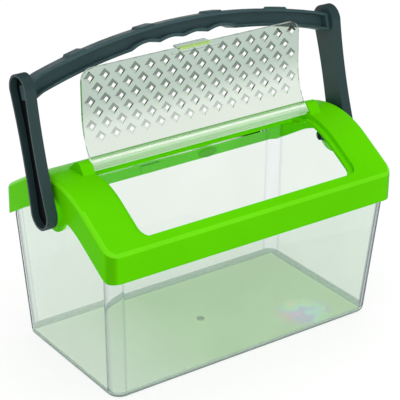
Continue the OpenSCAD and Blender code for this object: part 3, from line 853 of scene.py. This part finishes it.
@dataclass
class Tub:
    """Clear tub: a tapered box with a rounded foot and a rim that follows the roof."""

    roof: Roof
    finishes: TubFinishes
    length: float = 231 * MM
    depth: float = 121.5 * MM
    rim_length: float = 243.4 * MM
    rim_depth: float = 135.4 * MM
    shoulder: float = 97 * MM
    corner: float = 10 * MM
    foot: float = 3 * MM
    wall: float = 2 * MM
    rim_drop: float = 13 * MM
    rim_round: float = 0.4 * MM
    pivot: float = 125.5 * MM
    notch: float = 9.2 * MM
    gate: float = 3 * MM
    gate_depth: float = 0.4 * MM
    rim_facets: int = 20
    snap_x: float = 53 * MM
    snap_z: float = 102 * MM
    snap_size: tuple[float, float, float] = (9 * MM, 1.2 * MM, 4 * MM)

    def block(self) -> bpy.types.Object:
        """Builds the tapered block with rounded corners and foot, up past the rim."""
        near = 0.01 * MM
        piece = box(
            "tub_shell", (-self.length / 2, -self.depth / 2, 0),
            (self.length / 2, self.depth / 2, self.shoulder),
        )
        with editing(piece):
            pick(piece, Part.FACE, lambda c: all(v.z > self.shoulder - near for v in c))
            bpy.ops.transform.resize(
                value=(self.rim_length / self.length, self.rim_depth / self.depth, 1),
                center_override=(0, 0, self.shoulder),
            )
            pick(piece, Part.EDGE, lambda c: abs(c[0].z - c[1].z) > self.shoulder / 2)
            bpy.ops.mesh.bevel(offset=self.corner, segments=12, affect="EDGES")
            pick(piece, Part.EDGE, lambda c: all(v.z < near for v in c))
            bpy.ops.mesh.bevel(offset=self.foot, segments=5, affect="EDGES")
            pick(piece, Part.FACE, lambda c: all(v.z > self.shoulder - near for v in c))
            bpy.ops.mesh.extrude_region_move(
                TRANSFORM_OT_translate={"value": (0, 0, self.roof.apex - self.shoulder)}
            )
        return piece

    def trim(self, piece: bpy.types.Object) -> None:
        """Cuts the block off along the rim, one flat cut for each facet of the roof's curve."""
        flanks = (-self.roof.slope, self.roof.slope)
        arcs = [
            self.roof.slope * (2 * (i + 0.5) / self.rim_facets - 1)
            for i in range(self.rim_facets)
        ]
        with editing(piece):
            for angle in (*flanks, *arcs):
                bpy.ops.mesh.select_all(action="SELECT")
                bpy.ops.mesh.bisect(
                    plane_co=(
                        0, self.roof.crown * math.sin(angle),
                        self.roof.centre + self.roof.crown * math.cos(angle) - self.rim_drop,
                    ),
                    plane_no=(0, math.sin(angle), math.cos(angle)),
                    clear_outer=True,
                )

    def openings(self, piece: bpy.types.Object) -> None:
        """Cuts the notches for the handle's studs, and the gate mark under the floor."""
        reach = self.rim_length
        top = self.roof.apex
        hole = rod("notch", self.notch, -reach, reach, 0, self.pivot)
        slot = box("slot", (-reach, -self.notch, self.pivot), (reach, self.notch, top))
        combine(hole, slot, Way.ADD)
        combine(piece, hole, Way.CUT)
        deselect_all()
        bpy.ops.mesh.primitive_cylinder_add(
            vertices=32, radius=self.gate, depth=2 * self.gate_depth, location=(0, 0, 0)
        )
        combine(piece, placed("gate"), Way.CUT)

    def snaps(self, piece: bpy.types.Object) -> None:
        """Raises the two low oval snaps inside the back wall."""
        for side in (-1, 1):
            deselect_all()
            bpy.ops.mesh.primitive_uv_sphere_add(
                segments=24, ring_count=12, radius=1, scale=self.snap_size,
                location=(side * self.snap_x, self.rim_depth / 2 - self.wall, self.snap_z),
            )
            combine(piece, placed("snap"), Way.ADD)

    def dress(self, piece: bpy.types.Object) -> None:
        """Gives the rim, the gate mark and the snaps finishes of their own."""
        for finish in (self.finishes.rim, self.finishes.gate, self.finishes.snap):
            piece.data.materials.append(finish.material())
        inner = self.rim_depth / 2 - self.wall - 0.05 * MM
        for face in piece.data.polygons:
            x, y, z = face.center
            if z > self.roof.height(y, self.rim_drop) - self.wall / 2:
                face.material_index = 1
            elif z < self.wall / 2 and math.hypot(x, y) < self.gate:
                face.material_index = 2
            elif (0 < y < inner and abs(abs(x) - self.snap_x) < self.snap_size[0]
                    and abs(z - self.snap_z) < self.snap_size[2]):
                face.material_index = 3

    def build(self) -> bpy.types.Object:
        """Builds, dresses and seats the tub."""
        piece = self.block()
        self.trim(piece)
        modify(
            piece, "SOLIDIFY", thickness=self.wall, offset=-1.0, use_even_offset=True,
            use_quality_normals=True,
        )
        self.openings(piece)
        self.snaps(piece)
        modify(
            piece, "BEVEL", width=self.rim_round, segments=2, limit_method="ANGLE",
            angle_limit=math.radians(50),
        )
        smooth(piece)
        seat(piece, "tub", Body.TUB, self.finishes.wall)
        self.dress(piece)
        return piece


@dataclass(frozen=True)
class HatchFinishes:
    """Finishes of the hatch's sheet, pockets with painted shade, rim and barrel with painted
    light.
    """

    sheet: Finish
    upper_facet_shade: Finish
    lower_facet_shade: Finish
    rim: Finish
    barrel: Finish
    glint: Finish


@dataclass
class Hatch:
    """Clear hatch: a curved sheet with diamond pockets, a barrel, a finger tab and a rib."""

    roof: Roof
    finishes: HatchFinishes
    half: float = 94.3 * MM
    front: float = -62.6 * MM
    thickness: float = 2 * MM
    drop: float = 0.5 * MM
    bend: float = 37 * MM
    bend_angle: float = math.radians(14)
    tail: float = 3.5 * MM
    corner: float = 9 * MM
    hinge_y: float = 1 * MM
    hinge_rise: float = 1 * MM
    barrel: float = 3.6 * MM
    barrel_half: float = 94.6 * MM
    pin: float = 2 * MM
    pin_length: float = 5 * MM
    tab_width: float = 27 * MM
    tab_reach: float = 5.8 * MM
    tab_thickness: float = 1.5 * MM
    rib: float = 1 * MM
    rib_length: float = 40 * MM
    rib_place: float = 2.87 * MM
    rows: int = 6
    row_holes: int = 15
    first_row: float = 7.2 * MM
    row_pitch: float = 8.75 * MM
    hole_pitch: float = 12.5 * MM
    mouth: float = 4.7 * MM
    hole: float = 1.9 * MM
    edge_round: float = 0.25 * MM
    opened: float = math.radians(122.5)
    barrel_zone: float = 6.5 * MM

    @property
    def hinge_z(self) -> float:
        """Height of the hinge line."""
        return self.roof.apex + self.hinge_rise

    @property
    def radius(self) -> float:
        """Radius of the sheet's outer face on the crown."""
        return self.roof.crown - self.drop

    @property
    def bend_centre(self) -> tuple[float, float]:
        """Centre of the tighter curve that dips to the barrel."""
        shift = self.radius - self.bend
        return (
            -shift * math.sin(self.bend_angle),
            self.roof.centre + shift * math.cos(self.bend_angle),
        )

    @property
    def flat(self) -> float:
        """Length of the sheet's flat stretch behind its free edge."""
        slope = self.roof.slope
        return (abs(self.front) - self.radius * math.sin(slope)) / math.cos(slope)

    def place(self, along: float) -> tuple[float, float, float]:
        """Finds a place on the outer face.

        Args:
            along: Distance from the free edge, along the curve.

        Returns:
            Its y, its z, and the slope of the face there.
        """
        slope = self.roof.slope
        crown = self.radius * (slope - self.bend_angle)
        if along < self.flat:
            y = self.front + along * math.cos(slope)
            return y, self.roof.height(y, self.drop), slope
        if along < self.flat + crown:
            angle = slope - (along - self.flat) / self.radius
            return (
                -self.radius * math.sin(angle),
                self.roof.centre + self.radius * math.cos(angle), angle,
            )
        angle = self.bend_angle - (along - self.flat - crown) / self.bend
        y, z = self.bend_centre
        return y - self.bend * math.sin(angle), z + self.bend * math.cos(angle), angle

    @property
    def length(self) -> float:
        """Length of the outer face from the free edge to the tail."""
        tail = math.asin((self.tail - self.bend_centre[0]) / self.bend)
        return (
            self.flat + self.radius * (self.roof.slope - self.bend_angle)
            + self.bend * (self.bend_angle + tail)
        )

    def sheet(self) -> bpy.types.Object:
        """Builds the curved sheet: a flat strip drawn on along the curve, then given its wall."""
        steps = 26
        curved = self.length - self.flat
        stops = [0.0, *(self.flat + curved * i / steps for i in range(steps + 1))]
        line = [self.place(stop) for stop in stops]
        near = 0.01 * MM
        deselect_all()
        bpy.ops.mesh.primitive_plane_add(
            size=1, location=(0, (line[0][0] + line[1][0]) / 2, (line[0][1] + line[1][1]) / 2),
            rotation=(self.roof.slope, 0, 0),
        )
        bpy.context.active_object.scale = (2 * self.half, self.flat, 1)
        piece = placed("hatch_sheet")
        with editing(piece):
            for here, there in zip(line[1:], line[2:]):
                pick(piece, Part.EDGE, lambda c: all(
                    abs(v.y - here[0]) + abs(v.z - here[1]) < near for v in c
                ))
                bpy.ops.mesh.extrude_region_move(TRANSFORM_OT_translate={
                    "value": (0, there[0] - here[0], there[1] - here[1])
                })
            pick(piece, Part.VERTEX, lambda c: c[0].y < self.front + near)
            bpy.ops.mesh.bevel(offset=self.corner, segments=10, affect="VERTICES")
            bpy.ops.mesh.select_all(action="SELECT")
            bpy.ops.mesh.normals_make_consistent(inside=False)
        if sum(face.normal.z for face in piece.data.polygons) < 0:
            with editing(piece):
                bpy.ops.mesh.select_all(action="SELECT")
                bpy.ops.mesh.flip_normals()
        modify(piece, "SOLIDIFY", thickness=self.thickness, offset=-1.0, use_even_offset=True)
        return piece

    def pockets(self) -> bpy.types.Object:
        """Builds the cutters of the air holes: four-sided cones that narrow through the sheet."""
        over = 0.25 * MM
        taper = (self.mouth - self.hole) / self.thickness
        cones = []
        for row in range(self.rows):
            y, z, slope = self.place(self.first_row + row * self.row_pitch)
            count = self.row_holes - row % 2
            middle = self.thickness / 2
            for index in range(count):
                deselect_all()
                bpy.ops.mesh.primitive_cone_add(
                    vertices=4, radius1=self.hole - over * taper,
                    radius2=self.mouth + over * taper, depth=self.thickness + 2 * over,
                    location=(
                        (index - (count - 1) / 2) * self.hole_pitch,
                        y + middle * math.sin(slope), z - middle * math.cos(slope),
                    ),
                    rotation=(slope, 0, 0),
                )
                cones.append(placed("pocket"))
        return joined("pockets", cones)

    def fittings(self) -> list[bpy.types.Object]:
        """Builds the barrel with its pins and web, the finger tab and the snap rib."""
        centre_y, centre_z = self.bend_centre
        middle = self.bend - self.thickness / 2
        web_z = centre_z + math.sqrt(middle**2 - (self.hinge_y - centre_y) ** 2)
        pin_half = self.barrel_half + self.pin_length
        web = self.thickness
        y, z, slope = self.place(0.0)
        root = self.thickness / 2
        rise = (self.tab_reach - root) / 2
        back = self.tab_thickness / 2
        tab_y = y - rise * math.sin(slope) + back * math.cos(slope)
        tab_z = z + rise * math.cos(slope) + back * math.sin(slope)
        span = (self.tab_reach + root) / 2
        rib_y, rib_z, _ = self.place(self.rib_place)
        return [
            rod("barrel", self.barrel, -self.barrel_half, self.barrel_half,
                self.hinge_y, self.hinge_z),
            rod("pins", self.pin, -pin_half, pin_half, self.hinge_y, self.hinge_z),
            box("web", (-self.half, self.hinge_y - web, web_z),
                (self.half, self.hinge_y + web, self.hinge_z)),
            box("tab", (-self.tab_width / 2, tab_y - back, tab_z - span),
                (self.tab_width / 2, tab_y + back, tab_z + span), slope),
            rod("rib", self.rib, -self.rib_length / 2, self.rib_length / 2,
                rib_y + self.thickness * math.sin(slope),
                rib_z - self.thickness * math.cos(slope)),
        ]

    def build(self) -> bpy.types.Object:
        """Builds the hatch closed, swings it open, dresses it and seats it."""
        piece = self.sheet()
        combine(piece, self.pockets(), Way.CUT)
        for fitting in self.fittings():
            combine(piece, fitting, Way.ADD)
        modify(
            piece, "BEVEL", width=self.edge_round, segments=2, limit_method="ANGLE",
            angle_limit=math.radians(40),
        )
        with editing(piece):
            for side in (-1, 1):
                bpy.ops.mesh.select_all(action="SELECT")
                bpy.ops.mesh.bisect(
                    plane_co=(side * (self.tab_width / 2 - self.edge_round), 0, 0),
                    plane_no=(1, 0, 0),
                )
            bpy.ops.mesh.select_all(action="SELECT")
            bpy.ops.transform.rotate(
                value=self.opened, orient_axis="X",
                center_override=(0, self.hinge_y, self.hinge_z),
            )
        smooth(piece, 25.0)
        seat(piece, "hatch", Body.HATCH, self.finishes.sheet)
        self.dress(piece)
        return piece

    def finish_at(self, centre: Vector, normal: Vector) -> int:
        """Finds which finish a face of the closed hatch has.

        Args:
            centre: The face's middle.
            normal: The face's normal.

        Returns:
            The finish's place among the hatch's finishes.
        """
        if math.hypot(centre.y - self.hinge_y, centre.z - self.hinge_z) < self.barrel_zone:
            return 4
        edge_y, edge_z, slope = self.place(0.0)
        height = (centre.z - edge_z) * math.cos(slope) - (centre.y - edge_y) * math.sin(slope)
        # The free edge under the tab gets the painted lime glint.
        if (abs(centre.x) < self.tab_width / 2 and centre.y < edge_y + self.thickness
                and height < 0.2 * MM):
            return 5
        for row in range(self.rows):
            y, z, slope = self.place(self.first_row + row * self.row_pitch)
            along = (centre.y - y) * math.cos(slope) + (centre.z - z) * math.sin(slope)
            if abs(along) > self.mouth:
                continue
            shift = ((self.row_holes - row % 2 - 1) / 2) % 1
            across = (centre.x / self.hole_pitch + shift + 0.5) % 1 - 0.5
            if abs(across * self.hole_pitch) + abs(along) > self.mouth + 0.3 * MM:
                continue
            # Slanted pocket facets get painted shade.
            if abs(normal.z * math.cos(slope) - normal.y * math.sin(slope)) < 0.92:
                return 1 if along < 0 else 2
        radial = Vector((0, centre.y, centre.z - self.roof.centre)).normalized()
        return 3 if abs(normal.dot(radial)) < 0.7 else 0

    def dress(self, piece: bpy.types.Object) -> None:
        """Gives pocket facets painted shade, and the rim and barrel finishes with painted light.
        """
        rest = self.finishes
        for finish in (rest.upper_facet_shade, rest.lower_facet_shade, rest.rim, rest.barrel, rest.glint):
            piece.data.materials.append(finish.material())
        hinge = Vector((0, self.hinge_y, self.hinge_z))
        close = Matrix.Rotation(self.opened, 3, "X")
        for face in piece.data.polygons:
            centre = close @ (face.center - hinge) + hinge
            face.material_index = self.finish_at(centre, close @ face.normal)


@dataclass
class Lid:
    """Green lid moulding: the CAD moulding with its edges softened."""

    finish: Finish
    inside_glow_finish: Finish
    crease_highlight_finish: Finish
    edge_round: float = 0.3 * MM
    skirt_x: float = 108 * MM
    skirt_y: float = 60 * MM
    crease_y: float = 66 * MM
    end_face: float = 125.2 * MM

    def dress(self, lid: bpy.types.Object) -> None:
        """Gives inward faces a glowing green (painted light) and creases a painted highlight."""
        lid.data.materials.append(self.inside_glow_finish.material())
        lid.data.materials.append(self.crease_highlight_finish.material())
        for face in lid.data.polygons:
            level = face.normal.z
            # Faces on the creases get the painted highlight.
            if 0.3 < level < 0.8 and self.on_crease(face.center, face.normal):
                face.material_index = 2
                continue
            flat = Vector((face.normal.x, face.normal.y))
            inward = flat.dot(Vector((face.center.x, face.center.y))) < 0 and flat.length > 0.3
            outer = abs(face.center.y) > self.skirt_y or abs(face.center.x) > self.skirt_x
            if abs(face.center.x) > self.end_face:
                continue
            # Faces that look into the keeper get the glowing green: painted light.
            if face.normal.z < -0.3 or (inward and outer and face.normal.z < 0.3):
                face.material_index = 1

    def on_crease(self, centre: Vector, normal: Vector) -> bool:
        """Says whether a face lies on the rounding between the roof and the skirt."""
        end = abs(centre.x) > self.skirt_x and abs(normal.x) > 0.3
        side = abs(centre.y) > self.crease_y and abs(normal.y) > 0.58
        return (end or side) and normal.x * centre.x + normal.y * centre.y > 0

    def build(self) -> bpy.types.Object:
        """Builds, dresses and seats the lid."""
        piece = refined("lid_frame", "lid_moulding", self.edge_round, 40.0)
        seat(piece, "lid_frame", Body.LID, self.finish)
        self.dress(piece)
        return piece


@dataclass
class Handle:
    """Dark swing handle: an arched grip between two recessed arms."""

    finish: Finish
    grip_lit_finish: Finish
    recess_shade_finish: Finish
    edge_round: float = 0.35 * MM
    recess_floor: float = 131.3 * MM
    grip_half: float = 124 * MM
    grip_back: float = 2.5 * MM

    def paint_recess_shade(self, arm: bpy.types.Object) -> None:
        """Paints shade on the floor of an arm's outer recess, with a near-black finish of its
        own.
        """
        arm.data.materials.append(self.recess_shade_finish.material())
        for face in arm.data.polygons:
            level = abs(face.center.x) - self.recess_floor
            outward = face.normal.x * face.center.x > 0
            if outward and abs(level) < 0.2 * MM and abs(face.normal.x) > 0.9:
                face.material_index = 1

    def build(self) -> None:
        """Builds, dresses and seats the grip and both arms."""
        grip = refined("grip_bar", "grip", self.edge_round)
        with editing(grip):
            pick(grip, Part.VERTEX, lambda c: c[0].y > 0 and abs(c[0].x) < self.grip_half)
            bpy.ops.transform.translate(value=(0, self.grip_back, 0))
        # The grip gets the lighter copy of the handle's plastic: painted light.
        seat(grip, "grip_bar", Body.HANDLE, self.grip_lit_finish)
        for node, name in (("left_arm", "arm_left"), ("right_arm", "arm_right")):
            arm = refined(node, name, self.edge_round)
            seat(arm, node, Body.HANDLE, self.finish)
            self.paint_recess_shade(arm)


@dataclass
class Studio:
    """Camera, floor, background and lamps."""

    azimuth: float = math.radians(-35.74)
    elevation: float = math.radians(25.34)
    roll: float = math.radians(0.67)
    distance: float = 1.1
    aim: tuple[float, float, float] = (-33.24 * MM, -44.46 * MM, 126.75 * MM)
    focal_pixels: float = 1582.4
    image_pixels: float = 400.0
    sensor: float = 36.0
    ambient: float = 0.75
    ceiling: float = 0.1
    ceiling_rise: float = 0.2
    clearance: float = 0.3 * MM

    def camera(self) -> None:
        """Sets the camera where the photograph was taken."""
        back = Vector((
            math.sin(self.azimuth) * math.cos(self.elevation),
            -math.cos(self.azimuth) * math.cos(self.elevation),
            math.sin(self.elevation),
        ))
        right = Vector((0, 0, 1)).cross(back).normalized()
        up = back.cross(right)
        turned = Matrix((right, up, back)).transposed() @ Matrix.Rotation(self.roll, 3, "Z")
        data = bpy.data.cameras.new("camera")
        data.sensor_width = self.sensor
        data.lens = self.focal_pixels / self.image_pixels * self.sensor
        camera = bpy.data.objects.new("camera", data)
        camera.matrix_world = Matrix.Translation(
            Vector(self.aim) + back * self.distance
        ) @ turned.to_4x4()
        bpy.context.scene.collection.objects.link(camera)
        bpy.context.scene.camera = camera

    @staticmethod
    def straight(canvas: NodeCanvas) -> bpy.types.NodeSocket:
        """Returns 1 for what the camera sees, directly or through gloss and clear plastic."""
        path = canvas.add("ShaderNodeLightPath").outputs
        seen = canvas.maths("MAXIMUM", path["Is Camera Ray"], path["Is Glossy Ray"])
        return canvas.maths("MAXIMUM", seen, path["Is Transmission Ray"])

    def background(self) -> None:
        """Makes the world white to look at, dimmer overhead, and softer as a light."""
        world = bpy.data.worlds.new("studio")
        bpy.context.scene.world = world
        world.use_nodes = True
        canvas = NodeCanvas(world.node_tree)
        world.node_tree.nodes.clear()
        way = canvas.add("ShaderNodeTexCoord").outputs["Generated"]
        rise = canvas.add("ShaderNodeSeparateXYZ", {0: way}).outputs["Z"]
        seen = canvas.between(rise, 0.0, self.ceiling_rise, 1.0, self.ceiling)
        path = canvas.add("ShaderNodeLightPath").outputs
        light = canvas.add(
            "ShaderNodeMix", {0: self.straight(canvas), 2: self.ambient, 3: seen},
            data_type="FLOAT",
        ).outputs[0]
        strength = canvas.add(
            "ShaderNodeMix", {0: path["Is Camera Ray"], 2: light, 3: 1.0}, data_type="FLOAT"
        ).outputs[0]
        shown = canvas.add("ShaderNodeBackground", {"Color": (1, 1, 1, 1), "Strength": strength})
        output = canvas.add("ShaderNodeOutputWorld")
        world.node_tree.links.new(shown.outputs[0], output.inputs["Surface"])

    def floor(self) -> None:
        """Lays a white floor that keeps the shadow."""
        deselect_all()
        bpy.ops.mesh.primitive_plane_add(size=6.0, location=(0, 0, -self.clearance))
        floor = bpy.context.active_object
        floor.name = "floor"
        material = bpy.data.materials.new("floor_white")
        material.use_nodes = True
        tree = material.node_tree
        tree.nodes.clear()
        canvas = NodeCanvas(tree)
        paper = canvas.add("ShaderNodeBsdfDiffuse", {"Color": (0.8, 0.8, 0.8, 1)})
        faint = canvas.add("ShaderNodeBsdfDiffuse", {"Color": (0.3, 0.3, 0.3, 1)})
        glow = canvas.add("ShaderNodeEmission", {"Color": (1, 1, 1, 1), "Strength": 0.76})
        shown = canvas.add("ShaderNodeAddShader", {0: faint.outputs[0], 1: glow.outputs[0]})
        mixed = canvas.add(
            "ShaderNodeMixShader",
            {0: self.straight(canvas), 1: paper.outputs[0], 2: shown.outputs[0]},
        )
        output = canvas.add("ShaderNodeOutputMaterial")
        tree.links.new(mixed.outputs[0], output.inputs["Surface"])
        floor.data.materials.append(material)

    def lamp(self, name: str, place: Sequence[float], size: float, power: float) -> None:
        """Hangs a soft square lamp that faces the keeper.

        Args:
            name: The lamp's name.
            place: Where it hangs.
            size: Length of its sides.
            power: Its power in watts.
        """
        data = bpy.data.lights.new(name, "AREA")
        data.size = size
        data.energy = power
        lamp = bpy.data.objects.new(name, data)
        towards = Vector((0, 0, 0.1)) - Vector(place)
        lamp.matrix_world = Matrix.Translation(place) @ towards.to_track_quat(
            "-Z", "Y"
        ).to_matrix().to_4x4()
        bpy.context.scene.collection.objects.link(lamp)

    def build(self) -> None:
        """Builds the whole studio."""
        self.camera()
        self.background()
        self.floor()
        self.lamp("overhead_lamp", (0.1, -0.2, 1.6), 1.2, 3.0)
        self.lamp("front_lamp", (-0.6, -1.8, 1.0), 2.2, 10.5)
        view = bpy.context.scene.view_settings
        view.view_transform = "Standard"


def main() -> None:
    """Builds the studio and each sub-assembly, and reports each piece."""
    logging.basicConfig(level=logging.INFO, format="%(name)s: %(message)s")
    Studio().build()
    roof = Roof()
    Tub(roof, TubFinishes(TUB_CLEAR, TUB_RIM, TUB_GATE, TUB_SNAP)).build()
    Lid(LID_GREEN, LID_INSIDE_GLOW, LID_CREASE_HIGHLIGHT).build()
    Hatch(roof, HatchFinishes(
        HATCH_CLEAR, UPPER_FACET_SHADE, LOWER_FACET_SHADE, HATCH_RIM_EDGE_LIGHT, HATCH_BARREL, HATCH_GLINT
    )).build()
    Handle(HANDLE_DARK, HANDLE_GRIP_LIT, HANDLE_RECESS_SHADE).build()


if __name__ == "__main__":
    main()
